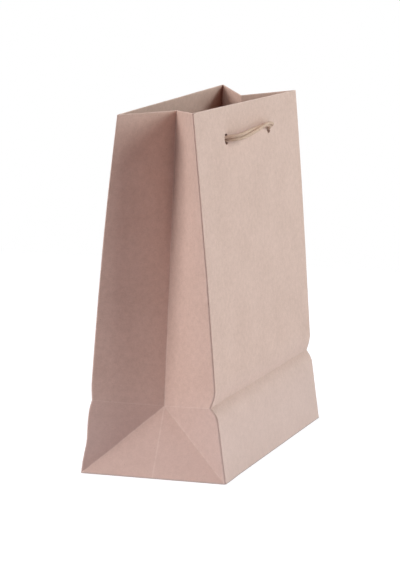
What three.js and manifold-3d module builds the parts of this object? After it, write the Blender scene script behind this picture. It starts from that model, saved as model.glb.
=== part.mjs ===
// Paper carrier bag: one folded and glued sheet of kraft paper, with handle holes in both broad panels and a cord
// handle through the front pair.
// Millimetres, +Z up. The origin is the middle of the base, on the surface that the bag stands on.
// +X runs along the broad panels, and the front panel faces -Y.
import * as THREE from "three";
import { mergeVertices } from "three/addons/utils/BufferGeometryUtils.js";
import Module from "manifold-3d";

// The sheet
const PANEL_WIDTH = 220; // broad panel, from gusset to gusset
const GUSSET_WIDTH = 100; // side gusset laid flat, which is also the depth of the base
const PANEL_HEIGHT = 240; // base fold to top edge, measured along the paper
const PAPER = 0.3; // one layer
const HEM = 40; // top edge turned in
const SIDE_LAP = 15; // glue lap inside the front panel, at its left edge
const FLAP_OVERLAP = 20; // front bottom flap over back bottom flap, along the middle of the base
const FLOOR_LAYERS = 3; // layers of paper in the block bottom

// How far the bag stands open
const CREASE_INSET = 6; // the broad panels lean in by this much between the base and the cross crease
const MOUTH_GAP = 53; // front panel to back panel at the top corners
const SHOULDER_RISE = 9; // from the cross crease up to the end of its soft bulge
const SHOULDER_BULGE = 1.4; // how far the panel stands out there
const FOLD_DROP = 2; // the gusset folds end this much below the top corners
const RULED_STEPS = 16; // bands between the shoulder and the hem, because the gusset walls are twisted

// The punched holes and the cord
const HOLE_SPACING = 90;
const HOLE_SHIFT = -4.5; // from the panel's middle to the middle of its two holes
const HOLE_DROP = 21.6; // below the top edge, along the paper
const HOLE_CLEARANCE = 1.4; // all round the cord
const CORD_DIAMETER = 4.6; // two plies side by side
const CORD_SIDES = 10;
const CORD_STEPS = 64;
const KNOT_DIAMETER = 11.5;
const KNOT_LENGTH = 12;
const CORD_TAIL = 9; // loose end below each knot

// The cord's route from its left end to its right end, as [along X, out of the panel, up].
// Its zero is on the panel, midway between the holes and level with them.
const CORD_ROUTE = [
  [-50.0, -13.2, -116.0],
  [-50.2, -13.0, -90.0],
  [-50.0, -12.8, -62.0],
  [-49.8, -12.8, -38.0],
  [-49.6, -12.6, -20.0],
  [-48.9, -11.4, -10.8],
  [-47.4, -6.6, -2.5],
  [-45.0, 0.0, 0.1],
  [-41.8, 5.0, 0.8],
  [-37.0, 7.4, 1.2],
  [-29.0, 7.8, 1.6],
  [-17.0, 7.0, 2.0],
  [-5.0, 6.2, 2.5],
  [6.0, 5.5, 3.0],
  [16.5, 4.8, 3.5],
  [26.0, 4.3, 3.9],
  [34.2, 4.2, 3.7],
  [41.0, 3.8, 2.3],
  [45.1, -0.1, 0.2],
  [47.4, -6.5, -2.4],
  [48.9, -10.8, -10.6],
  [49.6, -12.0, -20.0],
  [49.8, -12.4, -40.0],
  [49.6, -12.6, -66.0],
  [50.0, -12.8, -92.0],
  [50.2, -13.0, -112.0],
];

const wasm = await Module();
wasm.setup();

// Booleans: a three.js geometry as a solid, and back.
function solid(geometry) {
  const bare = geometry.clone();
  bare.deleteAttribute("normal");
  bare.deleteAttribute("uv");
  const merged = mergeVertices(bare, 1e-4);
  return new wasm.Manifold(
    new wasm.Mesh({
      numProp: 3,
      vertProperties: new Float32Array(merged.attributes.position.array),
      triVerts: new Uint32Array(merged.index.array),
    }),
  );
}

function geometryOf(manifold) {
  const mesh = manifold.getMesh();
  const indexed = new THREE.BufferGeometry();
  indexed.setAttribute("position", new THREE.BufferAttribute(mesh.vertProperties, 3));
  indexed.setIndex(new THREE.BufferAttribute(mesh.triVerts, 1));
  const faceted = indexed.toNonIndexed();
  faceted.computeVertexNormals();
  return faceted;
}

// A closed skin through rings of equally many points, with both end rings filled in.
// Rings run counter-clockwise seen from above, and the first is the lowest of the outside.
// Each patch between two rings is folded along the diagonal that rises from its own point or, where asked, from the
// next one. A skin that comes down again inside keeps the same diagonals, so that the wall is even.
function loft(rings, capTriangles, risesFromNext = () => false) {
  const count = rings[0].length;
  const positions = rings.flatMap((ring) => ring.flatMap((p) => [p.x, p.y, p.z]));
  const index = [];
  for (let k = 0; k + 1 < rings.length; k++) {
    for (let i = 0; i < count; i++) {
      const a = k * count + i;
      const b = k * count + ((i + 1) % count);
      const c = b + count;
      const d = a + count;
      const goesUp = rings[k + 1][i].z > rings[k][i].z;
      if (risesFromNext(i) === goesUp) index.push(a, b, d, b, c, d);
      else index.push(a, b, c, a, c, d);
    }
  }
  const last = (rings.length - 1) * count;
  for (const [a, b, c] of capTriangles) {
    index.push(a, c, b);
    index.push(last + a, last + b, last + c);
  }
  const geometry = new THREE.BufferGeometry();
  geometry.setAttribute("position", new THREE.Float32BufferAttribute(positions, 3));
  geometry.setIndex(index);
  return geometry;
}

// The folded tube
// A ring has six points: front left, front right, right gusset fold, back right, back left, left gusset fold.
const RIGHT_FOLD = 2;
const LEFT_FOLD = 5;
const RING_CAP = [
  [0, 1, RIGHT_FOLD],
  [0, RIGHT_FOLD, LEFT_FOLD],
  [LEFT_FOLD, RIGHT_FOLD, 3],
  [LEFT_FOLD, 3, 4],
];
const isGussetFold = (i) => i === RIGHT_FOLD || i === LEFT_FOLD;

const halfWidth = PANEL_WIDTH / 2;
const halfGusset = GUSSET_WIDTH / 2;

function ring({ cornerY, cornerZ, foldInset, foldZ }) {
  const foldX = halfWidth - foldInset;
  return [
    new THREE.Vector3(-halfWidth, -cornerY, cornerZ),
    new THREE.Vector3(halfWidth, -cornerY, cornerZ),
    new THREE.Vector3(foldX, 0, foldZ),
    new THREE.Vector3(halfWidth, cornerY, cornerZ),
    new THREE.Vector3(-halfWidth, cornerY, cornerZ),
    new THREE.Vector3(-foldX, 0, foldZ),
  ];
}

// Block bottom fold: two 45 degree folds rise from the base corners and meet on the gusset's centre line, half a
// gusset up the paper, level with the cross crease. Paper doesn't stretch, so the panels' lean sets how far the
// triangle between those folds tips inwards: cos(tip) = (1 - sin(lean)) / cos(lean).
const sinLean = CREASE_INSET / halfGusset;
const cosLean = Math.sqrt(1 - sinLean ** 2);
const tip = Math.acos((1 - sinLean) / cosLean);

const base = { cornerY: halfGusset, cornerZ: 0, foldInset: 0, foldZ: 0 };
const crease = {
  cornerY: halfGusset - CREASE_INSET,
  cornerZ: halfGusset * cosLean,
  foldInset: halfGusset * Math.sin(tip),
  foldZ: halfGusset * Math.cos(tip),
};
const upperLength = PANEL_HEIGHT - halfGusset;
const upperLean = crease.cornerY - MOUTH_GAP / 2;
const topZ = crease.cornerZ + Math.sqrt(upperLength ** 2 - upperLean ** 2);
const mouth = {
  cornerY: MOUTH_GAP / 2,
  cornerZ: topZ,
  foldInset: Math.sqrt(halfGusset ** 2 - (MOUTH_GAP / 2) ** 2),
  foldZ: topZ - FOLD_DROP,
};

// The bag's outline at a distance up the paper from the cross crease.
function sectionAt(distance, bulge = 0) {
  const share = distance / upperLength;
  const mix = (key) => THREE.MathUtils.lerp(crease[key], mouth[key], share);
  return {
    cornerY: mix("cornerY") + bulge,
    cornerZ: mix("cornerZ"),
    foldInset: mix("foldInset"),
    foldZ: mix("foldZ"),
  };
}

const hemLine = upperLength - HEM;
const bands = Array.from({ length: RULED_STEPS }, (_, k) =>
  sectionAt(THREE.MathUtils.lerp(SHOULDER_RISE, hemLine, (k + 1) / RULED_STEPS)),
);
const outerSections = [base, crease, sectionAt(SHOULDER_RISE, SHOULDER_BULGE), ...bands, mouth];

// A ring moved inwards by a thickness, square to each wall.
function inset(points, thickness) {
  return points.map((point, i) => {
    const before = points[(i + points.length - 1) % points.length];
    const after = points[(i + 1) % points.length];
    const along1 = new THREE.Vector2(point.x - before.x, point.y - before.y).normalize();
    const along2 = new THREE.Vector2(after.x - point.x, after.y - point.y).normalize();
    const inward1 = new THREE.Vector2(-along1.y, along1.x);
    const inward2 = new THREE.Vector2(-along2.y, along2.x);
    const mitre = inward1.clone().add(inward2);
    mitre.multiplyScalar((2 * thickness) / mitre.lengthSq());
    return new THREE.Vector3(point.x + mitre.x, point.y + mitre.y, point.z);
  });
}

// The skin goes up the outside, over the top edge, down the turned-in hem and down the inside to the floor.
function foldedTube() {
  const outside = outerSections.map(ring);
  const top = outside[outside.length - 1];
  const hemEnd = outside[outside.length - 2];
  const inside = outside.slice(1, -1).reverse().map((points) => inset(points, PAPER));
  const floorHeight = FLOOR_LAYERS * PAPER;
  const floor = inset(outside[0], floorHeight).map((p) => p.setZ(floorHeight));
  const rings = [...outside, inset(top, 2 * PAPER), inset(hemEnd, 2 * PAPER), ...inside, floor];
  return solid(loft(rings, RING_CAP, isGussetFold));
}

// The glue lap: a second layer on the inside of the front panel, along its left edge, up to the hem.
function sideLap() {
  const embed = PAPER / 2;
  const foot = PAPER; // it starts inside the thickness of the floor
  const left = -halfWidth + PAPER;
  const right = -halfWidth + SIDE_LAP;
  const rings = outerSections.slice(0, -1).map(({ cornerY, cornerZ }) => {
    const z = Math.max(cornerZ, foot);
    return [
      new THREE.Vector3(left, -cornerY + embed, z),
      new THREE.Vector3(right, -cornerY + embed, z),
      new THREE.Vector3(right, -cornerY + 2 * PAPER, z),
      new THREE.Vector3(left + PAPER, -cornerY + 2 * PAPER, z),
    ];
  });
  return solid(loft(rings, [[0, 1, 2], [0, 2, 3]]));
}

// Under the base the front flap lies outermost. The back flap and the end triangles slope up from their base folds
// to pass behind it, so a thin wedge of room is taken from under each.
function flapRoom(outline, heights) {
  const below = outline.map(([x, y]) => new THREE.Vector3(x, y, -PAPER));
  const above = outline.map(([x, y], i) => new THREE.Vector3(x, y, heights[i]));
  const cap = outline.slice(2).map((_, i) => [0, i + 1, i + 2]);
  return solid(loft([below, above], cap));
}

function bottomFlapRooms() {
  const flapEdge = FLAP_OVERLAP / 2;
  const flapEnd = halfWidth - (halfGusset - flapEdge);
  const apex = halfWidth - halfGusset;
  const backFlap = flapRoom(
    [[-flapEnd, flapEdge], [flapEnd, flapEdge], [halfWidth, halfGusset], [-halfWidth, halfGusset]],
    [PAPER, PAPER, 0, 0],
  );
  const rightEnd = flapRoom(
    [[apex, 0], [halfWidth, -halfGusset], [halfWidth, halfGusset]],
    [2 * PAPER, 0, 0],
  );
  const leftEnd = flapRoom(
    [[-apex, 0], [-halfWidth, halfGusset], [-halfWidth, -halfGusset]],
    [2 * PAPER, 0, 0],
  );
  return [backFlap, rightEnd, leftEnd];
}

// The handle holes, square to their panel
const holeRadius = CORD_DIAMETER / 2 + HOLE_CLEARANCE;
const holeSection = sectionAt(upperLength - HOLE_DROP);
const panelTilt = Math.asin(upperLean / upperLength);

function punch(side, x) {
  const reach = 10 * PAPER;
  const pin = new THREE.CylinderGeometry(holeRadius, holeRadius, 2 * reach, 24);
  pin.rotateX(side * panelTilt);
  pin.translate(x, side * holeSection.cornerY, holeSection.cornerZ);
  return solid(pin);
}

function paperBody() {
  let body = foldedTube().add(sideLap());
  for (const room of bottomFlapRooms()) body = body.subtract(room);
  for (const side of [-1, 1]) {
    for (const way of [-1, 1]) body = body.subtract(punch(side, HOLE_SHIFT + (way * HOLE_SPACING) / 2));
  }
  return geometryOf(body);
}

// The handle cord, with a stopper knot and a loose end at each end of its route.
function knotAt(end) {
  const half = KNOT_LENGTH / 2;
  const profile = new THREE.SplineCurve([
    new THREE.Vector2(0, -half),
    new THREE.Vector2(KNOT_DIAMETER * 0.36, -half * 0.72),
    new THREE.Vector2(KNOT_DIAMETER / 2, 0),
    new THREE.Vector2(KNOT_DIAMETER * 0.36, half * 0.72),
    new THREE.Vector2(0, half),
  ]).getPoints(10);
  profile[0].x = 0;
  profile[profile.length - 1].x = 0;
  const knot = new THREE.LatheGeometry(profile, 14);
  knot.rotateX(Math.PI / 2);
  knot.translate(end.x, end.y, end.z + CORD_TAIL + half);
  return solid(knot);
}

function handleCord() {
  const points = CORD_ROUTE.map(
    ([x, out, up]) =>
      new THREE.Vector3(HOLE_SHIFT + x, -holeSection.cornerY - out, holeSection.cornerZ + up),
  );
  const path = new THREE.CatmullRomCurve3(points, false, "centripetal");
  const section = new THREE.Shape().absarc(0, 0, CORD_DIAMETER / 2, 0, 2 * Math.PI);
  const tube = new THREE.ExtrudeGeometry(section, {
    steps: CORD_STEPS,
    curveSegments: CORD_SIDES / 2, // three.js doubles this on a full circle
    extrudePath: path,
  });
  const ends = [points[0], points[points.length - 1]];
  return geometryOf(ends.reduce((cord, end) => cord.add(knotAt(end)), solid(tube)));
}

const kraft = new THREE.MeshStandardMaterial({ color: 0xcfbcb1, roughness: 0.9, metalness: 0 });
const twistedPaper = new THREE.MeshStandardMaterial({ color: 0xc4b49c, roughness: 0.9, metalness: 0 });

const bag = new THREE.Group();

const body = new THREE.Mesh(paperBody(), kraft);
body.name = "paper_body";
bag.add(body);

const cord = new THREE.Mesh(handleCord(), twistedPaper);
cord.name = "front_handle_cord";
bag.add(cord);

export default bag;
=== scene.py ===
# %% [markdown]
# # Paper carrier bag
# A carrier bag is one flat sheet of kraft paper, scored, folded and glued, with a cord for a handle. This lesson
# sets up the camera and the light, rolls the cord, cuts and folds the sheet, and then gives both their finish.
# The CAD model is loaded first, as a fixed frame in metres. Its box is kept, because the bag has to stay that size.

# %% Load the frame
import math
from functools import lru_cache

import bmesh
import bpy
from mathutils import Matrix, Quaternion, Vector, geometry, noise


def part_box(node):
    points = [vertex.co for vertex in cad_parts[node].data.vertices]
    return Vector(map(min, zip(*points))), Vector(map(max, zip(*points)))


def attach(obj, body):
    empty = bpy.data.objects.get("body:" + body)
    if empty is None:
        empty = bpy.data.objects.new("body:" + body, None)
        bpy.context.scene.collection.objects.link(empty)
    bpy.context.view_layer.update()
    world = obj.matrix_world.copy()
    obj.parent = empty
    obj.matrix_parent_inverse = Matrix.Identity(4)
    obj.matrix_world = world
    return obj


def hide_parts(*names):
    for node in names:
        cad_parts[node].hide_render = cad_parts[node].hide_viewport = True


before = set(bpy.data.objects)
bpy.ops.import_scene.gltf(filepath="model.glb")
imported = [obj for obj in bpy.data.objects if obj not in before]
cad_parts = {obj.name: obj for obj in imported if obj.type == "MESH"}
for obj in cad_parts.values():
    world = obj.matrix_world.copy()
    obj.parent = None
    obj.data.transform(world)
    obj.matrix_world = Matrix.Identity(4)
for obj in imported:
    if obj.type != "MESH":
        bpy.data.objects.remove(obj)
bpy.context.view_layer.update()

MM = 0.001
bpy.context.scene.view_settings.view_transform = "Standard"

# %% [markdown]
# ## Camera
# The bag is seen from its gusset side, a little above the middle, so the broad front panel is steeply foreshortened.
# Its upright edges hardly run together, which means a long lens from far away. The angles come from fitting the
# corners and folds of the bag to the picture, and the focal length is written in picture widths.

# %% Camera
SENSOR = 36.0
FOCAL_WIDTHS = 6.4427
AZIMUTH, ELEVATION, ROLL = math.radians(-71.39), math.radians(9.12), math.radians(0.15)
AIM, DISTANCE = Vector((-13.27, 0.0, 113.49)) * MM, 1.7544

away = Vector((math.sin(AZIMUTH), -math.cos(AZIMUTH), math.tan(ELEVATION))).normalized()
lens = bpy.data.cameras.new("long_lens")
lens.sensor_fit, lens.sensor_width, lens.lens = "HORIZONTAL", SENSOR, FOCAL_WIDTHS * SENSOR
camera = bpy.data.objects.new("camera", lens)
camera.location = AIM + DISTANCE * away
camera.rotation_euler = (away.to_track_quat("Z", "Y") @ Quaternion((0, 0, 1), ROLL)).to_euler()
bpy.context.collection.objects.link(camera)
bpy.context.scene.camera = camera
print(f"lens {lens.lens:.0f} mm at", [round(x, 3) for x in camera.location])

# %% [markdown]
# ## Sums of sockets
# A finish in Blender is a web of small nodes. Written out one by one they hide the idea, so this class wraps a
# socket and lets it be added and multiplied like a number. Anything that isn't plain arithmetic goes through node.

# %% A socket that can be used in sums
class Wire:
    def __init__(self, tree, socket=None):
        self.tree, self.socket = tree, socket

    def node(self, kind, inputs, output=0, **settings):
        """Adds a node, fills its inputs with numbers or wires, and gives one of its outputs."""
        made = self.tree.nodes.new("ShaderNode" + kind)
        for name, value in settings.items():
            setattr(made, name, value)
        for key, value in inputs.items():
            if isinstance(value, Wire):
                self.tree.links.new(value.socket, made.inputs[key])
            else:
                made.inputs[key].default_value = value
        return Wire(self.tree, made.outputs[output])

    def sum(self, operation, *values):
        return self.node("Math", dict(enumerate(values)), operation=operation)

    def __add__(self, other):
        return self.sum("ADD", self, other)

    def __sub__(self, other):
        return self.sum("SUBTRACT", self, other)

    def __rsub__(self, other):
        return self.sum("SUBTRACT", other, self)

    def __mul__(self, other):
        return self.sum("MULTIPLY", self, other)

    def __abs__(self):
        return self.sum("ABSOLUTE", self)

    __radd__, __rmul__ = __add__, __mul__

    def least(self, other):
        return self.sum("MINIMUM", self, other)

    def ramp(self, start, end):
        """0 before start and 1 after end, with a soft change between them. It also runs backwards."""
        return self.node("MapRange", {0: self, 1: start, 2: end}, interpolation_type="SMOOTHSTEP")

    def between(self, first, second):
        """A colour that is this share of the way from the first one to the second."""
        return self.node("Mix", {0: self, 6: first, 7: second}, output=2, data_type="RGBA")

    def stretched(self, *scale):
        return self.node("VectorMath", {0: self, 1: scale}, operation="MULTIPLY")

    def clouds(self, scale, detail=2.0, roughness=0.5):
        """Soft noise from 0 to 1 on these coordinates."""
        inputs = {"Vector": self, "Scale": scale, "Detail": detail, "Roughness": roughness}
        return self.node("TexNoise", inputs, output="Fac")


def new_finish(name):
    """An empty material, its shader and a wire to start from."""
    material = bpy.data.materials.new(name)
    material.use_nodes = True
    tree = material.node_tree
    return material, tree.nodes["Principled BSDF"], Wire(tree)


def connect(wire, node, name):
    """Leads a wire to a named input of a node."""
    wire.tree.links.new(wire.socket, node.inputs[name])


print("sockets can be summed")

# %% [markdown]
# ## Floor and room
# The bag stands on a plain white floor in a white room. A white room that gave off light would wash out the folds,
# so the white is only for what the camera sees directly: the Light Path node tells those rays apart. The bag is lit
# by the lamps alone. The floor mixes that white with a real white surface, so it still takes a faint shadow and
# throws light back onto the bag.

# %% Floor
FLOOR_SIZE, FLOOR_GAP = 0.8, 0.2 * MM
FLOOR_COLOUR = (0.85, 0.86, 0.93, 1)
FLOOR_GLOW = 1.4
SHADOW_SHARE = 0.45
WHITE = (1, 1, 1, 1)


def as_object(name, shape):
    """Turns a bmesh into an object at the origin."""
    mesh = bpy.data.meshes.new(name)
    shape.to_mesh(mesh)
    shape.free()
    made = bpy.data.objects.new(name, mesh)
    bpy.context.collection.objects.link(made)
    return made


def seen_directly(wire):
    """1 for rays that come from the camera, a mirror or glass."""
    kinds = ("Camera", "Glossy", "Transmission")
    camera_ray, mirror_ray, glass_ray = (wire.node("LightPath", {}, output=f"Is {kind} Ray") for kind in kinds)
    return (camera_ray + mirror_ray + glass_ray).least(1.0)


flat = bmesh.new()
bmesh.ops.create_grid(flat, x_segments=1, y_segments=1, size=FLOOR_SIZE)
bmesh.ops.translate(flat, vec=(0, 0, -FLOOR_GAP), verts=flat.verts)
floor = as_object("floor", flat)

floor_finish, shader, wire = new_finish("white_floor")
shader.inputs["Base Color"].default_value = FLOOR_COLOUR
shader.inputs["Roughness"].default_value = 1.0
glow = wire.node("Emission", {"Color": WHITE, "Strength": FLOOR_GLOW})
lit = Wire(wire.tree, shader.outputs[0])
shown = wire.node("MixShader", {0: seen_directly(wire) * (1 - SHADOW_SHARE), 1: lit, 2: glow})
connect(shown, wire.tree.nodes["Material Output"], "Surface")
floor.data.materials.append(floor_finish)
print(f"floor {2 * FLOOR_SIZE} m wide, shadow {SHADOW_SHARE:.0%}")

# %% Room
room = bpy.data.worlds.new("white_room")
room.use_nodes = True
bpy.context.scene.world = room
background = room.node_tree.nodes["Background"]
background.inputs["Color"].default_value = WHITE
connect(seen_directly(Wire(room.node_tree)), background, "Strength")
print("room:", len(room.node_tree.nodes), "nodes")

# %% [markdown]
# ## Lamps
# The two halves of a gusset face different ways, so the light decides how the bag reads. A large soft lamp behind the
# bag on the gusset side reaches only the half that faces it. The broad panel has a lamp of its own in front, and a
# low one round the far corner that shows the crease across it. A lamp overhead reaches into the mouth and onto the
# small triangles at the foot. The other half of the gusset is left to the light that the paper itself throws back,
# which is why it looks deeper and redder, with only a weak warm lamp to help.

# %% Lamps
BAG_MIDDLE = Vector((0, 0, 0.12))
LAMP_DISTANCE, LAMP_SIZE = 2.0, 0.9
# The way to each lamp, its power in watts and its colour.
LAMPS = {
    "gusset_lamp": ((-0.55, 0.70, 0.455), 25.6, (1.0, 0.96, 0.94)),
    "front_lamp": ((0.05, -0.90, 0.45), 20.8, (0.91, 1.0, 0.995)),
    "low_lamp": ((0.55, -0.78, 0.02), 16.8, (0.87, 0.98, 1.0)),
    "ceiling_lamp": ((-0.10, 0.05, 1.00), 17.5, (0.98, 0.97, 1.0)),
    "fill_lamp": ((-0.80, -0.45, 0.40), 2.3, (1.0, 0.22, 0.12)),
}


def soft_lamp(name, direction, power, colour):
    """A square lamp that looks at the middle of the bag."""
    lamp = bpy.data.lights.new(name, "AREA")
    lamp.shape, lamp.size, lamp.energy, lamp.color = "SQUARE", LAMP_SIZE, power, colour
    placed = bpy.data.objects.new(name, lamp)
    towards = Vector(direction).normalized()
    placed.location = BAG_MIDDLE + LAMP_DISTANCE * towards
    placed.rotation_euler = towards.to_track_quat("Z", "Y").to_euler()
    placed.visible_camera = False
    bpy.context.collection.objects.link(placed)


for name, (direction, power, colour) in LAMPS.items():
    soft_lamp(name, direction, power, colour)
print("lamps:", {name: power for name, (_, power, _) in LAMPS.items()})

# %% [markdown]
# ## Measures of the sheet
# Every place on the paper has a flat address: u, how far round the bag it is from the front left corner, and v, how
# far up from the base fold. The bag is then six upright lines, four corners and two gusset folds, that bend at the
# cross crease half a gusset up. Their ends are listed for three heights. The mouth isn't quite even, as on a bag
# that has been opened by hand.

# %% Corners and folds at three heights
paper_low, paper_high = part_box("paper_body")
PANEL, GUSSET = paper_high.x - paper_low.x, paper_high.y - paper_low.y
SIDE, DEEP = PANEL / 2, GUSSET / 2
HEIGHT = 240 * MM
FOLDS = [0, PANEL, PANEL + DEEP, PANEL + GUSSET, 2 * PANEL + GUSSET, 2 * PANEL + 3 * DEEP, 2 * (PANEL + GUSSET)]
FRONT, RIGHT_NEAR, RIGHT_FAR, BACK, LEFT_FAR, LEFT_NEAR = range(6)
CREASE_Y, CREASE_Z = DEEP - 6.6 * MM, 49.5 * MM
APEX_X, APEX_Z = SIDE - 24.2 * MM, 43.8 * MM
BASE_RING = [
    Vector((-SIDE, -DEEP, 0)),
    Vector((SIDE, -DEEP, 0)),
    Vector((SIDE, 0, 0)),
    Vector((SIDE, DEEP, 0)),
    Vector((-SIDE, DEEP, 0)),
    Vector((-SIDE, 0, 0)),
]
CREASE_RING = [
    Vector((-SIDE, -CREASE_Y, CREASE_Z)),
    Vector((SIDE, -CREASE_Y, CREASE_Z)),
    Vector((APEX_X, 0, APEX_Z)),
    Vector((SIDE, CREASE_Y, CREASE_Z)),
    Vector((-SIDE, CREASE_Y, CREASE_Z)),
    Vector((-APEX_X, 0, APEX_Z)),
]
MOUTH_RING = [
    Vector((-SIDE, -27.2 * MM, 239.9 * MM)),
    Vector((SIDE, -30.2 * MM, 237.6 * MM)),
    Vector((SIDE - 42.0 * MM, -2.9 * MM, 236.4 * MM)),
    Vector((SIDE, 24.3 * MM, 240.0 * MM)),
    Vector((-SIDE, 23.9 * MM, 237.4 * MM)),
    Vector((43.0 * MM - SIDE, -1.7 * MM, 237.3 * MM)),
]
print(f"panel {PANEL:.3f}, gusset {GUSSET:.3f}, round the bag {FOLDS[-1]:.3f} m")

# %% [markdown]
# ### Any height between them
# A ring at another height lies on straight lines between two of these. The turned-in hem needs the same rings a little
# further in. Scaling them would move long walls further than short ones, so each corner moves along its mitre, and
# every wall moves in by the same distance.

# %% Rings at any height
def moved_in(ring, distance):
    """A ring moved inwards, square to each wall."""
    out = []
    for before, point, after in zip(ring[-1:] + ring[:-1], ring, ring[1:] + ring[:1]):
        sides = [(b - a).to_2d().normalized() for a, b in ((before, point), (point, after))]
        mitre = Vector((-sides[0].y - sides[1].y, sides[0].x + sides[1].x, 0))
        out.append(point + mitre * (2 * distance / mitre.length_squared))
    return out


@lru_cache(maxsize=None)
def ring_at(v, inset=0.0):
    """The six lines at a distance up the paper, with the first one again at the end."""
    if v < DEEP:
        low, high, share = BASE_RING, CREASE_RING, v / DEEP
    else:
        low, high, share = CREASE_RING, MOUTH_RING, (v - DEEP) / (HEIGHT - DEEP)
    ring = [a.lerp(b, share) for a, b in zip(low, high)]
    if inset:
        ring = moved_in(ring, inset)
    return ring + ring[:1]


print("halfway up, the front left corner is at", [round(x, 4) for x in ring_at(HEIGHT / 2)[0]])

# %% [markdown]
# ## Cord
# The handle is two paper plies laid side by side with a slow twist. It comes out of one hole, lies along the panel
# and goes back in at the other, and inside the bag each end hangs down to a stopper knot. Its line is one smooth
# curve through a route of points, cut into even steps.

# %% Route of the cord
HOLE_SPACING, HOLE_SHIFT, HOLE_DROP = 90 * MM, -4.5 * MM, 21.6 * MM
# Along the panel, out of it and up, in millimetres. Zero is on the panel, midway between the holes.
CORD_ROUTE = [
    (-50.0, -13.2, -116.0), (-50.2, -13.0, -90.0), (-50.0, -12.8, -62.0), (-49.8, -12.8, -38.0),
    (-49.6, -12.6, -20.0), (-48.9, -11.4, -10.8), (-47.4, -6.6, -2.5), (-45.0, 0.0, 0.1),
    (-41.8, 5.0, 0.8), (-37.0, 7.4, 1.2), (-29.0, 7.8, 1.6), (-17.0, 7.0, 2.0),
    (-5.0, 6.2, 2.5), (6.0, 5.5, 3.0), (16.5, 4.8, 3.5), (26.0, 4.3, 3.9),
    (34.2, 4.2, 3.7), (41.0, 3.8, 2.3), (45.1, -0.1, 0.2), (47.4, -6.5, -2.4),
    (48.9, -10.8, -10.6), (49.6, -12.0, -20.0), (49.8, -12.4, -40.0), (49.6, -12.6, -66.0),
    (50.0, -12.8, -92.0), (50.2, -13.0, -112.0),
]


def beside_panel(along, out, up):
    """A point given by its distances from the front panel, level with the holes."""
    ring = ring_at(HEIGHT - HOLE_DROP)
    on_panel = ring[0].lerp(ring[1], 0.5 + (HOLE_SHIFT + along) / PANEL)
    return on_panel + Vector((0, -out, up))


cord_route = [beside_panel(*(x * MM for x in place)) for place in CORD_ROUTE]
print(f"route of {len(cord_route)} points, {cord_route[0].z:.3f} m above the floor at its left end")

# %% A smooth line along it
CORD_STEP = 1.5 * MM
CURVE_POINTS = 24


def walked_along(line):
    """How far along a line each of its points is."""
    walked = [0.0]
    for a, b in zip(line, line[1:]):
        walked.append(walked[-1] + (b - a).length)
    return walked


def smooth_line(points, step):
    """Evenly spaced points on a curve through the given ones."""
    ends = [2 * points[0] - points[1], *points, 2 * points[-1] - points[-2]]
    fine = [points[0]]
    for a, b, c, d in zip(ends, ends[1:], ends[2:], ends[3:]):
        reach = (c - b).length / 3
        leave, arrive = (c - a).normalized() * reach, (d - b).normalized() * reach
        fine += geometry.interpolate_bezier(b, b + leave, c - arrive, c, CURVE_POINTS)[1:]
    walked = walked_along(fine)
    count = math.ceil(walked[-1] / step)
    line = [fine[0]]
    for k in range(1, count):
        target = walked[-1] * k / count
        after = next(i for i, distance in enumerate(walked) if distance >= target)
        share = (target - walked[after - 1]) / (walked[after] - walked[after - 1])
        line.append(fine[after - 1].lerp(fine[after], share))
    return line + [fine[-1]]


cord_line = smooth_line(cord_route, CORD_STEP)
cord_length = walked_along(cord_line)[-1]
print(f"cord line {cord_length:.4f} m, {len(cord_line)} points")

# %% [markdown]
# ### Rolling the plies
# A curve with a round bevel would give one smooth rod, so each ply is rolled from a flat strip instead: a grid whose
# rows go round the ply and whose columns follow the line. The strip's flat address becomes its UV map, for the
# fibres. The directions that turn with the line are carried along it without spin, so the only twist is the one
# asked for.

# %% Directions along a line
def frames_along(line):
    """The line's points, each with two directions square to it that don't spin."""
    tangents = [(b - a).normalized() for a, b in zip(line[:1] + line[:-1], line[1:] + line[-1:])]
    across = tangents[0].orthogonal().normalized()
    frames = []
    for k, (point, tangent) in enumerate(zip(line, tangents)):
        if k:
            across = tangents[k - 1].rotation_difference(tangent) @ across
        frames.append((point, across, tangent.cross(across)))
    return frames


def grid_place(vert, *cells):
    """The column and row of a vertex in a new grid of size 1, which reaches from -1 to 1."""
    return (round((c + 1) / 2 * n) for c, n in zip(vert.co, cells))


print("directions at", len(frames_along(cord_line)), "points")

# %% [markdown]
# ### Two plies, one cord
# Each ply runs round the line at about half its own width, so that the two just touch. The last column of a strip meets
# the first, so those points are merged, and the open ends are filled. The twist starts where it brings one ply right
# above the other near the left hole, where the cord is seen best.

# %% Plies
CORD_WIDTH, CORD_TWIST = 4.6 * MM, -200 * MM
PLY_SIDES, PLY_SPREAD = 16, 1.02
MERGED_WITHIN = 0.001 * MM
STACKED_NEAR = beside_panel(-36 * MM, 7.5 * MM, 1.2 * MM)


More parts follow.
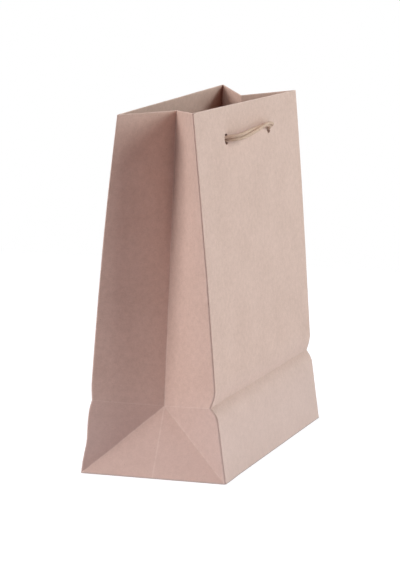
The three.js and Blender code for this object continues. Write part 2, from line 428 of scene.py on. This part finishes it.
def twisted_cord(name, line, width, twist_length, stacked):
    """Two plies twisted round a line, one above the other at its point number stacked, as one piece."""
    radius = width / 4
    frames, walked = frames_along(line), walked_along(line)
    turns = [2 * math.pi * distance / twist_length for distance in walked]
    _, across, over = frames[stacked]
    start = math.atan2(over.z, across.z) - turns[stacked]
    cells = len(line) - 1, PLY_SIDES
    cord = bmesh.new()
    strip = cord.loops.layers.uv.new("flat_strip")
    for side in (0, math.pi):
        made = bmesh.ops.create_grid(cord, x_segments=cells[0], y_segments=cells[1], size=1)["verts"]
        for face in {face for vert in made for face in vert.link_faces}:
            for loop in face.loops:
                i, j = grid_place(loop.vert, *cells)
                loop[strip].uv = (walked[i], j / PLY_SIDES * 2 * math.pi * radius + side)
        for vert in made:
            i, j = grid_place(vert, *cells)
            point, across, over = frames[i]
            turn, roll = start + side + turns[i], -2 * math.pi * j / PLY_SIDES
            middle = PLY_SPREAD * radius * (math.cos(turn) * across + math.sin(turn) * over)
            vert.co = point + middle + radius * (math.cos(roll) * across + math.sin(roll) * over)
    bmesh.ops.remove_doubles(cord, verts=cord.verts, dist=MERGED_WITHIN)
    bmesh.ops.holes_fill(cord, edges=[edge for edge in cord.edges if edge.is_boundary])
    bmesh.ops.recalc_face_normals(cord, faces=cord.faces)
    for face in cord.faces:
        face.smooth = len(face.verts) == 4
    return as_object(name, cord)


stacked = min(range(len(cord_line)), key=lambda k: (cord_line[k] - STACKED_NEAR).length)
handle = twisted_cord("front_handle_cord_twist", cord_line, CORD_WIDTH, CORD_TWIST, stacked)
print(handle.name, len(handle.data.polygons), "faces")

# %% [markdown]
# ### Stopper knots
# An overhand knot is the simplest one that holds. A ball would stop the cord as well, but it would not look tied. A
# curve of three short polynomials ties the knot: t cubed less 3t, t to the fourth less 4t squared, and t to the fifth
# less 10t. Its ends run into the cord, so the knot sits round the cord a little above each loose end.

# %% Knots
KNOT_RISE, KNOT_TAIL = 15 * MM, 10.5 * MM
KNOT_SPAN, KNOT_POINTS = 2.0, 61
KNOT_WIDTH, KNOT_HEIGHT = 1.75 * MM, 0.5 * MM
KNOT_STEP, KNOT_TWIST = 1.2 * MM, 40 * MM
PULLED_THIN = 0.9


def overhand(middle, hand):
    """The line of an overhand knot about an upright cord; hand is 1 or -1."""
    tail = Vector((0, 0, KNOT_TAIL))
    line = [middle - tail]
    for k in range(KNOT_POINTS):
        t = KNOT_SPAN * (2 * k / (KNOT_POINTS - 1) - 1)
        x, y, z = t**3 - 3 * t, t**4 - 4 * t**2 + 2, t**5 - 10 * t
        line.append(middle + Vector((hand * KNOT_WIDTH * x, KNOT_WIDTH * y, KNOT_HEIGHT * z)))
    return line + [middle + tail]


knots = []
for name, end, hand in (("left_stopper_knot", cord_line[0], 1), ("right_stopper_knot", cord_line[-1], -1)):
    line = smooth_line(overhand(end + Vector((0, 0, KNOT_RISE)), hand), KNOT_STEP)
    knots.append(twisted_cord(name, line, PULLED_THIN * CORD_WIDTH, KNOT_TWIST, 0))
    print(name, f"takes {walked_along(line)[-1]:.3f} m of cord")

# %% [markdown]
# ## The flat sheet
# The bag starts flat, as at the factory. A box with an open top could be bent into a bag later, but its folds would
# not keep the paper's lengths. So the sheet is one grid, with closer columns and rows where it will be folded and
# punched. It reaches from the front panel's seam edge round to the glue lap, and from the ends of the bottom flaps to
# the edge of the hem.

# %% Where the blank is folded and punched
HEM, LAP, FLAP = 40 * MM, 15 * MM, 60 * MM
SEAM = 0.5 * MM
CORNER_ROUND, FOLD_ROUND = 0.9 * MM, 0.5 * MM
ROUNDS = {FOLDS[k]: FOLD_ROUND if k in (RIGHT_FAR, LEFT_NEAR) else CORNER_ROUND for k in range(1, 7)}
HOLE_RADIUS = CORD_WIDTH / 2 + 1.4 * MM
HOLE_REACH = HOLE_RADIUS + 1.2 * MM

hole_x = [HOLE_SHIFT - HOLE_SPACING / 2, HOLE_SHIFT + HOLE_SPACING / 2]
hole_u = [SIDE + x for x in hole_x] + [FOLDS[BACK] + SIDE - x for x in hole_x]
hole_v = [HEIGHT - HOLE_DROP, HEIGHT + HOLE_DROP]
print(f"{len(ROUNDS)} upright folds, {len(hole_u)} pairs of holes, {2 * HOLE_RADIUS / MM:.1f} mm across")

# %% Columns and rows
SPACING = 3.2 * MM
PUNCH_CELLS = 12
# Where the lines beside a fold are, in shares of its reach.
ARC = (0, 0.19, 0.44, 1, 1.7)
HEM_GAP = 0.45 * MM
# Half of the paper that the half circle at the rim takes, and the rows there in shares of it.
RIM = math.pi / 4 * HEM_GAP
RIM_ROWS = (-3, -1, -0.5, 0, 0.5, 1, 3)
FLAP_TURN = 3 * MM
# Two places that are closer than this are the same.
NEAR = 1e-6


def stations(marks):
    """Evenly spaced places from the first mark to the last that include every mark."""
    marks = sorted(set(marks))
    out = marks[:1]
    for a, b in zip(marks, marks[1:]):
        count = max(1, math.ceil((b - a) / SPACING - NEAR))
        out += [a + (b - a) * k / count for k in range(1, count + 1)]
    return out


punch_marks = [HOLE_REACH * (2 * k / PUNCH_CELLS - 1) for k in range(PUNCH_CELLS + 1)]
columns = stations(
    [SEAM, FOLDS[-1] + LAP]
    + [fold + way * a * reach for fold, reach in ROUNDS.items() for a in ARC for way in (-1, 1)]
    + [hole + mark for hole in hole_u for mark in punch_marks]
)
rows = stations(
    [-FLAP, -FLAP_TURN, HEIGHT + HEM]
    + [a * CORNER_ROUND for a in ARC]
    + [DEEP + way * a * FOLD_ROUND for a in ARC for way in (-1, 1)]
    + [HEIGHT + a * RIM for a in RIM_ROWS]
    + [hole + mark for hole in hole_v for mark in punch_marks]
)
print(f"{len(columns)} columns, {len(rows)} rows")

# %% [markdown]
# ### Laying it out
# The grid comes out even, so each point is moved to its own column and row. This flat place is kept as a UV map,
# because fibres and scored lines belong to the flat sheet.

# %% Lay out the sheet
sheet = bmesh.new()
flat_map = sheet.loops.layers.uv.new("flat_sheet")
bmesh.ops.create_grid(sheet, x_segments=len(columns) - 1, y_segments=len(rows) - 1, size=1)
for vert in sheet.verts:
    i, j = grid_place(vert, len(columns) - 1, len(rows) - 1)
    vert.co = (columns[i], rows[j], 0)
for face in sheet.faces:
    for loop in face.loops:
        loop[flat_map].uv = loop.vert.co.xy
print(f"blank {columns[-1] - columns[0]:.4f} by {rows[-1] - rows[0]:.4f} m, {len(sheet.faces)} cells")

# %% [markdown]
# ### Punch and cut
# Holes are punched while the paper is flat. A Boolean cut would leave long thin faces round them, so the cells inside
# each circle go, and the corners left around it move onto the circle. The hem has holes of its own, which come to lie
# behind the others. The glue lap is trimmed at both ends, and the sheet is slit between the bottom flaps so that they
# can be folded over each other.

# %% Punch the holes and slit the flaps
CORNERS = [FOLDS[k] for k in (1, 3, 4, 6)]
LAP_TOP = HEIGHT + RIM_ROWS[0] * RIM


def punched(place):
    """The middle of the hole that a flat place is in or near, if any."""
    for u in hole_u:
        for v in hole_v:
            if math.hypot(place.x - u, place.y - v) < HOLE_REACH:
                return Vector((u, v, 0))
    return None


waste, rims = [], {}
for face in sheet.faces:
    place = face.calc_center_median()
    hole = punched(place)
    if hole and (place - hole).length < HOLE_RADIUS:
        waste.append(face)
        rims.update((vert, hole) for vert in face.verts)
    elif place.x > FOLDS[-1] and not 0 < place.y < LAP_TOP:
        waste.append(face)
bmesh.ops.delete(sheet, geom=waste, context="FACES")
for vert, hole in rims.items():
    if vert.is_valid:
        vert.co = hole + (vert.co - hole).normalized() * HOLE_RADIUS
slits = [
    edge
    for edge in sheet.edges
    if any(all(abs(vert.co.x - c) < NEAR and vert.co.y < NEAR for vert in edge.verts) for c in CORNERS)
]
bmesh.ops.split_edges(sheet, edges=slits)
print(f"{len(waste)} cells cut away, {len(slits)} edges slit")

# %% [markdown]
# ### Scored folds
# A block bottom opens along folds that run up from each base corner at 45 degrees and meet on the gusset's middle
# line. They cross the grid's cells from corner to corner, so those cells are split there. Otherwise a fold would
# become a row of teeth.

# %% Score the diagonal folds
by_place = {(round(vert.co.x, 6), round(vert.co.y, 6)): vert for vert in sheet.verts}
rise = [v for v in rows if -NEAR <= v <= DEEP + NEAR]
scored = 0
for corner, way in zip(CORNERS, (1, -1, 1, -1)):
    diagonal = [by_place[round(corner + way * v, 6), round(v, 6)] for v in rise]
    for a, b in zip(diagonal, diagonal[1:]):
        scored += len(bmesh.ops.connect_verts(sheet, verts=[a, b])["edges"])
print(scored, "cells scored")

# %% [markdown]
# ### Walls
# Each point now moves from its flat address to its place on the bag. Between two upright lines the paper is straight.
# Below the cross crease a gusset half is two triangles that share the diagonal fold. Within a short reach of an
# upright fold the paper follows an arc of a circle, because stiff paper can't turn on a point: a weighted curve of
# three points gives that arc at any angle.

# %% Where a point of the walls goes
def panel_at(u):
    """Which of the six panels and gusset halves a place is on."""
    return max(k for k in range(6) if FOLDS[k] <= u)


def gusset_foot(k, u, v):
    """A point of a gusset half below the cross crease."""
    corner, middle = (k, k + 1) if k in (RIGHT_NEAR, LEFT_FAR) else (k + 1, k)
    s = abs(u - FOLDS[corner])
    foot, top = BASE_RING[corner % 6], CREASE_RING[corner % 6]
    base, apex = BASE_RING[middle], CREASE_RING[middle]
    if s < v:
        return foot + (top - foot) * ((v - s) / DEEP) + (apex - foot) * (s / DEEP)
    return foot + (base - foot) * ((s - v) / DEEP) + (apex - foot) * (v / DEEP)


def wall(u, v, inset):
    """A point on the folded walls, with sharp folds."""
    u = u - FOLDS[-1] if u > FOLDS[-1] else u
    k = panel_at(u)
    if v < DEEP and k not in (FRONT, BACK):
        return gusset_foot(k, u, v)
    ring = ring_at(v, inset)
    return ring[k].lerp(ring[k + 1], (u - FOLDS[k]) / (FOLDS[k + 1] - FOLDS[k]))


def rounded_wall(u, v, inset=0.0):
    """The same with its upright folds rounded."""
    for fold, reach in ROUNDS.items():
        if abs(u - fold) < reach:
            t = (u - fold + reach) / (2 * reach)
            a, b, c = (wall(fold + step, v, inset) for step in (-reach, 0, reach))
            pull = math.sin((a - b).angle(c - b) / 2)
            shares = ((1 - t) ** 2, 2 * pull * t * (1 - t), t**2)
            return (a * shares[0] + b * shares[1] + c * shares[2]) / sum(shares)
    return wall(u, v, inset)


print("a corner of the mouth is at", [round(x, 4) for x in rounded_wall(0, HEIGHT)])

# %% [markdown]
# ### Bottom flaps
# The block bottom is four flaps glued over each other. The front flap is outermost, the back flap lies on it, and the
# ends of the gussets are inside both. Each flap is lifted by the layers under it. One flat plate would be simpler, but
# it would show no folded edges from inside the bag.

# %% Where a point of a flap goes
PAPER = 0.3 * MM
BACK_LIFT, BACK_LIFTED_AT = 1.2 * PAPER, 30 * MM
END_LIFT, END_LIFTED_AT = 2.4 * PAPER, 4 * MM
END_TAPER = 1.5 * DEEP


def bottom_flap(k, u, depth):
    """A point of a bottom flap, at a depth from its base fold."""
    z = PAPER / 2
    if k in (FRONT, BACK):
        way = 1 if k == FRONT else -1
        x = way * (SIDE - depth) * (2 * (u - FOLDS[k]) / PANEL - 1)
        lift = 0 if k == FRONT else BACK_LIFT * min(1, depth / BACK_LIFTED_AT)
        return Vector((x, way * (depth - DEEP), z + lift))
    way, start = (1, FOLDS[RIGHT_NEAR]) if k in (RIGHT_NEAR, RIGHT_FAR) else (-1, FOLDS[LEFT_FAR])
    depth *= DEEP / FLAP
    y = way * GUSSET * ((u - start) / GUSSET - 0.5) * (1 - depth / END_TAPER)
    return Vector((way * (SIDE - depth), y, z + END_LIFT * min(1, depth / END_LIFTED_AT)))


print("the front flap ends at", [round(x, 4) for x in bottom_flap(FRONT, SIDE, FLAP)])

# %% [markdown]
# ### How the paper gives
# Sharp, flat walls would look like card, and a cloth simulation would sag like fabric. A handled bag has a pinched
# valley along the cross crease, deepest at the corners, panels that belly out slightly above it, and faint waves.
# These are short formulas of the flat address.

# %% Pinch, belly and waves
PINCH_REACH_UP, PINCH_REACH_DOWN, PINCH_POWER = 11 * MM, 7 * MM, 1.4
WAVES, WAVE_HEIGHT = (13, 8), 0.45 * MM
RIPPLES, RIPPLE_HEIGHT, RIPPLE_SEED = (48, 34), 0.12 * MM, 7


def pinch(v):
    """1 on the cross crease, fading out above and below it."""
    reach = PINCH_REACH_UP if v > DEEP else PINCH_REACH_DOWN
    return max(0, 1 - abs(v - DEEP) / reach) ** PINCH_POWER


def belly(v):
    """1 halfway between the cross crease and the mouth."""
    return math.sin(math.pi * (v - DEEP) / (HEIGHT - DEEP)) if v > DEEP else 0


def waves(u, v, seed):
    """Slow waves with small ripples on them. Each seed gives another pattern."""
    slow = noise.noise(Vector((u * WAVES[0], v * WAVES[1], seed)))
    quick = noise.noise(Vector((u * RIPPLES[0], v * RIPPLES[1], seed + RIPPLE_SEED)))
    return WAVE_HEIGHT * slow + RIPPLE_HEIGHT * quick


print(f"5 mm above the crease the pinch is {pinch(DEEP + 5 * MM):.2f}")

# %% [markdown]
# ### Give of each wall
# The broad panels move square to themselves, and the gussets between them are carried along at the corners. On the
# front the valley is deeper at the left corner, and the back has a shallow dent near its foot. Everything fades out at
# the base, which stands flat.

# %% Give of the paper
BLEND_REACH, STEADY_TO = 25 * MM, 12 * MM
PINCH_LEFT, PINCH_RIGHT, PINCH_EASE = 3.9 * MM, 3.1 * MM, 0.1
FRONT_BELLY, FRONT_SEED = 0.6 * MM, 1
BACK_BELLY, BACK_PINCH, BACK_SEED = 1.3 * MM, 1.1 * MM, 2
DENT_RISE, DENT_REACH, DENT_DEPTH = 22 * MM, 9 * MM, 1.0 * MM
GUSSET_BELLY, GUSSET_WAVES, GUSSET_SEED = 0.5 * MM, 1.5, 3


def share_of(u, start):
    """1 on the broad panel that starts there, fading out round its corners."""
    outside = max(start - u, u - start - PANEL, 0)
    return max(0, 1 - outside / BLEND_REACH)


def give(u, v):
    """How far the paper is from its ideal place."""
    steady = min(1, v / STEADY_TO)
    front, back = max(share_of(u, 0), share_of(u, FOLDS[-1])), share_of(u, FOLDS[BACK])
    along = min(1, max(0, (u - FOLDS[-1] if u > FOLDS[LEFT_FAR] else u) / PANEL))
    depth = (PINCH_LEFT + (PINCH_RIGHT - PINCH_LEFT) * along) * (1 - PINCH_EASE * (1 - abs(2 * along - 1)))
    out_front = FRONT_BELLY * belly(v) - depth * pinch(v) + waves(along * PANEL, v, FRONT_SEED)
    dent = DENT_DEPTH * math.exp(-(((v - DENT_RISE) / DENT_REACH) ** 2))
    out_back = BACK_BELLY * belly(v) - BACK_PINCH * pinch(v) - dent + waves(u, v, BACK_SEED)
    moved = Vector((0, back * out_back - front * out_front, 0)) * steady
    for k in (RIGHT_NEAR, RIGHT_FAR, LEFT_FAR, LEFT_NEAR):
        if FOLDS[k] < u < FOLDS[k + 1]:
            ring = ring_at(v)
            side = (ring[k + 1] - ring[k]).to_2d().normalized()
            bow = GUSSET_WAVES * waves(u, v, GUSSET_SEED) - GUSSET_BELLY * belly(v)
            bow *= math.sin(math.pi * (u - FOLDS[k]) / DEEP) ** 2 * steady
            moved += bow * Vector((side.y, -side.x, 0))
    return moved


print(f"pinch at the corner: {give(0.0, DEEP).y / MM:.1f} mm")

# %% [markdown]
# ### The fold itself
# Now every point can be moved. At the rim the paper turns over in a half circle, and the hem goes down inside, moved
# in by a little more than the paper's thickness. Over the glue lap the front panel stands proud by one layer, while
# the hem goes down inside the lap. The way the front faces is printed, and so is the area: folding must not stretch
# paper.

# %% Fold the sheet
LAP_STEP = 0.42 * MM
FOOT_LIFT_TO = 10 * MM
FRONT_MIDDLE = Vector((0, -0.04, 0.1))


def home_of(vert):
    """The panel that a point of a bottom flap belongs to."""
    return panel_at(sum(face.calc_center_median().x for face in vert.link_faces) / len(vert.link_faces))


def folded(vert):
    """The place on the bag of a point of the flat sheet."""
    u, v, _ = vert.co
    if v < -NEAR:
        return bottom_flap(home_of(vert), u, -v)
    turned = math.pi * min(1, max(0, (v - HEIGHT + RIM) / (2 * RIM)))
    up = HEIGHT - max(RIM, abs(v - HEIGHT)) + HEM_GAP / 2 * math.sin(turned)
    inset = HEM_GAP / 2 * (1 - math.cos(turned))
    place = rounded_wall(u, up, inset) + give(u, up)
    if u < 2 * LAP:
        place.y -= LAP_STEP * min(1, 2 - u / LAP) * (1 - turned / math.pi)
    place.z += PAPER / 2 * max(0, 1 - up / FOOT_LIFT_TO)
    return place


places = [(vert, folded(vert)) for vert in sheet.verts]
for vert, place in places:
    vert.co = place
for face in sheet.faces:
    face.smooth = True
sheet.normal_update()
front_face = min(sheet.faces, key=lambda face: (face.calc_center_median() - FRONT_MIDDLE).length)
paper_area = sum(face.calc_area() for face in sheet.faces)
print(f"front faces {front_face.normal.y:+.2f} along y; {len(sheet.faces)} cells, {paper_area:.4f} square metres")

# %% [markdown]
# ### Thickness
# One layer of paper is 0.3 mm. The Solidify modifier grows it evenly to both sides and closes the cut edges, and it is
# applied at once, so that the bag is one closed skin. Edges that turn by more than about 40 degrees are sharp: the
# diagonal folds, the base fold and the cut edges. The rest is shaded smooth.

# %% Give the sheet its thickness
SHARP_TURN = math.radians(39)

paper = as_object("folded_paper_bag", sheet)
thick = paper.modifiers.new("thickness", "SOLIDIFY")
thick.thickness, thick.offset, thick.use_even_offset = PAPER, 0.0, False
bpy.context.view_layer.update()
thin_mesh = paper.data
paper.data = bpy.data.meshes.new_from_object(paper.evaluated_get(bpy.context.evaluated_depsgraph_get()))
paper.modifiers.clear()
bpy.data.meshes.remove(thin_mesh)
paper.data.name = "folded_paper_bag"
paper.data.set_sharp_from_angle(angle=SHARP_TURN)
print("paper:", sum(len(face.vertices) - 2 for face in paper.data.polygons), "triangles")

# %% [markdown]
# ## Kraft paper
# Unbleached kraft is matt and even from afar. Close up it is clouded, with long fibres that lie mostly along the
# roll or across it, and a few darker flecks. A picture of paper would do this too, but it would have to be cut and
# joined. Noise on the flat address runs on across the folds by itself.

# %% Fibres, clouds and flecks
# How many fit in a metre of paper.
CLOUDS, MOTTLE, GRAIN, FLECKS = 38, 260, 900, 900
FIBRES_ACROSS, FIBRES_ALONG = 2600, 300
FLECK_STRETCH, FLECK_LIMITS = 0.45, (0.74, 0.82)

kraft, shader, wire = new_finish("kraft_paper")
address = wire.node("UVMap", {}, uv_map="flat_sheet")
cloud = address.clouds(CLOUDS, detail=3)
mottle = address.clouds(MOTTLE, detail=3, roughness=0.6)
grain = address.clouds(GRAIN, detail=2, roughness=0.55)
upright = address.stretched(FIBRES_ACROSS, FIBRES_ALONG, 1).clouds(1.0)
level = address.stretched(FIBRES_ALONG, FIBRES_ACROSS, 1).clouds(1.0)
fibre = upright + level
flecks = address.stretched(1, FLECK_STRETCH, 1).clouds(FLECKS, detail=1).ramp(*FLECK_LIMITS)
print("patterns:", len(kraft.node_tree.nodes), "nodes so far")

# %% [markdown]
# ### Worn folds, painted light and painted shade
# Where paper is folded its surface breaks and goes paler, and the same pale line is also a painted highlight on the
# rounded fold. The distance to the nearest scored line is worked out from the flat address, which keeps the worn lines
# thin: painting them on the mesh would make them as wide as its cells. The foot is painted a little paler and cooler,
# as painted light thrown up from the floor, and the base fold has a thin grey line of painted shade where it stands.

# %% Worn lines and painted highlights, painted floor light, painted shade at the base
# The pale worn lines along the folds and the rim are also painted highlights on their rounded edges.
WORN_AND_HIGHLIGHT_FROM, WORN_AND_HIGHLIGHT_TO = 0.8 * MM, 0.2 * MM
WORN_AND_HIGHLIGHT_PATCHES = (0.15, 0.55)
# Painted floor light: over this height the foot is painted paler and cooler, for light thrown up from the floor.
PAINTED_FLOOR_LIGHT_FROM, PAINTED_FLOOR_LIGHT_TO = 75 * MM, 15 * MM
# Painted shade: a thin grey line along the base fold, standing in for the shadow where the bag meets the floor.
BASE_CONTACT_SHADE_FROM, BASE_CONTACT_SHADE_TO = 0.9 * MM, 0.3 * MM
PANEL_EDGE = 1 * MM
SQUARE_TO_DIAGONAL = 0.7
CREASE_THINNED = 2.2

u, v = (wire.node("SeparateXYZ", {0: address}, output=axis) for axis in "XY")
from_line = abs(v - HEIGHT)
for fold in FOLDS[1:]:
    from_line = from_line.least(abs(u - fold))
for middle in (FOLDS[RIGHT_FAR], FOLDS[LEFT_NEAR]):
    from_line = from_line.least(abs(DEEP - abs(u - middle) - v) * SQUARE_TO_DIAGONAL)
from_middle = abs(u - FOLDS[RIGHT_FAR]).least(abs(u - FOLDS[LEFT_NEAR]))
on_panel = from_middle.ramp(DEEP - PANEL_EDGE, DEEP + PANEL_EDGE)
from_line = from_line.least(abs(v - DEEP) * CREASE_THINNED + on_panel)
# Pale worn lines, in patches, that also paint the highlight on each rounded fold.
worn_and_highlight = from_line.ramp(WORN_AND_HIGHLIGHT_FROM, WORN_AND_HIGHLIGHT_TO) * mottle.ramp(*WORN_AND_HIGHLIGHT_PATCHES)
# Painted light from the floor, strongest at the foot.
painted_floor_light = v.ramp(PAINTED_FLOOR_LIGHT_FROM, PAINTED_FLOOR_LIGHT_TO)
# Painted shade along the base fold, on both sides of it.
base_contact_shade = abs(v).ramp(BASE_CONTACT_SHADE_FROM, BASE_CONTACT_SHADE_TO)
print("worn lines:", len(kraft.node_tree.nodes), "nodes so far")

# %% [markdown]
# ### Colour and surface
# The patterns now add up to one tone between a deep and a normal brown, and the wear, with its painted highlights,
# the painted floor light and the painted shade at the base are laid over it in thin layers.
# The same patterns raise the surface a little. Paper hardly shines, so the specular level is close to zero.

# %% Finish: kraft paper
KRAFT = (0.73, 0.545, 0.47, 1)
KRAFT_DEEP = (0.53, 0.375, 0.312, 1)
# Pale worn paper, also used as the painted highlight along the folds.
KRAFT_PALE = (0.78, 0.65, 0.59, 1)
FLECK = (0.36, 0.24, 0.18, 1)
# Colour of the painted light from the floor at the foot.
PAINTED_FLOOR_LIGHT = (0.65, 0.53, 0.50, 1)
# Colour of the painted shade along the base fold.
BASE_CONTACT_SHADE = (0.42, 0.36, 0.34, 1)
TONE_LIMITS = (0.22, 0.86)
ROUGHNESS, ROUGHER_BY = 0.82, 0.12
BUMP_STRENGTH, BUMP_DEPTH = 0.3, 0.25 * MM
PAPER_SHINE = 0.03

tone = cloud * 0.20 + mottle * 0.34 + grain * 0.26 + fibre * 0.14
colour = tone.ramp(*TONE_LIMITS).between(KRAFT_DEEP, KRAFT)
# Layers over the tone: painted floor light at the foot, pale worn lines that are also painted highlights, flecks, and
# painted shade along the base fold.
for layer, share, layer_colour in (
    (painted_floor_light, 0.3, PAINTED_FLOOR_LIGHT),
    (worn_and_highlight, 0.34, KRAFT_PALE),
    (flecks, 0.5, FLECK),
    (base_contact_shade, 0.6, BASE_CONTACT_SHADE),
):
    colour = (layer * share).between(colour, layer_colour)
connect(colour, shader, "Base Color")
connect(ROUGHNESS + mottle * ROUGHER_BY, shader, "Roughness")
height = grain * 0.8 + fibre * 0.25 + mottle * 0.5
connect(wire.node("Bump", {"Strength": BUMP_STRENGTH, "Distance": BUMP_DEPTH, "Height": height}), shader, "Normal")
shader.inputs["Specular IOR Level"].default_value = PAPER_SHINE
paper.data.materials.append(kraft)
print("kraft paper:", len(kraft.node_tree.nodes), "nodes")

# %% [markdown]
# ## Cord paper
# The cord is twisted from strips of the same kind of paper, a little greyer and greener than the bag. Fine lines run
# along each ply at a slant, where the strip was rolled. The strip's flat address gives them their direction.

# %% Finish: twisted cord
CORD_PALE = (0.61, 0.445, 0.345, 1)
CORD_DEEP = (0.40, 0.27, 0.19, 1)
# How many fit in a metre of strip.
LINES_ALONG, LINES_ACROSS, SHADES = 160, 2600, 240
SLANT = 0.6
CORD_LIMITS = (0.25, 0.6)
CORD_ROUGHNESS, CORD_ROUGHER_BY = 0.8, 0.15
LINE_STRENGTH, LINE_DEPTH = 0.5, 0.3 * MM

cord_paper, shader, wire = new_finish("twisted_cord")
address = wire.node("UVMap", {}, uv_map="flat_strip")
along, around = (wire.node("SeparateXYZ", {0: address}, output=axis) for axis in "XY")
slanted = wire.node("CombineXYZ", {0: along * LINES_ALONG, 1: (around + along * SLANT) * LINES_ACROSS})
lines = slanted.clouds(1.0)
shade = address.clouds(SHADES, detail=3)
tone = lines * 0.6 + shade * 0.4
connect(tone.ramp(*CORD_LIMITS).between(CORD_DEEP, CORD_PALE), shader, "Base Color")
connect(CORD_ROUGHNESS + lines * CORD_ROUGHER_BY, shader, "Roughness")
connect(wire.node("Bump", {"Strength": LINE_STRENGTH, "Distance": LINE_DEPTH, "Height": lines}), shader, "Normal")
shader.inputs["Specular IOR Level"].default_value = PAPER_SHINE
for piece in (handle, *knots):
    piece.data.materials.append(cord_paper)
print("twisted cord:", len(cord_paper.node_tree.nodes), "nodes")

# %% [markdown]
# ## Pieces on one body
# Each piece rides on the bag's one body, and the CAD node that it stands for is hidden.

for piece, node, slot in (
    (paper, "paper_body", "kraft_paper"),
    (handle, "front_handle_cord", "twisted_cord"),
    (knots[0], "front_handle_cord", "twisted_cord"),
    (knots[1], "front_handle_cord", "twisted_cord"),
):
    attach(piece, "root")
    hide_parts(node)
columns[-1] - columns[0]
rows[-1] - rows[0]
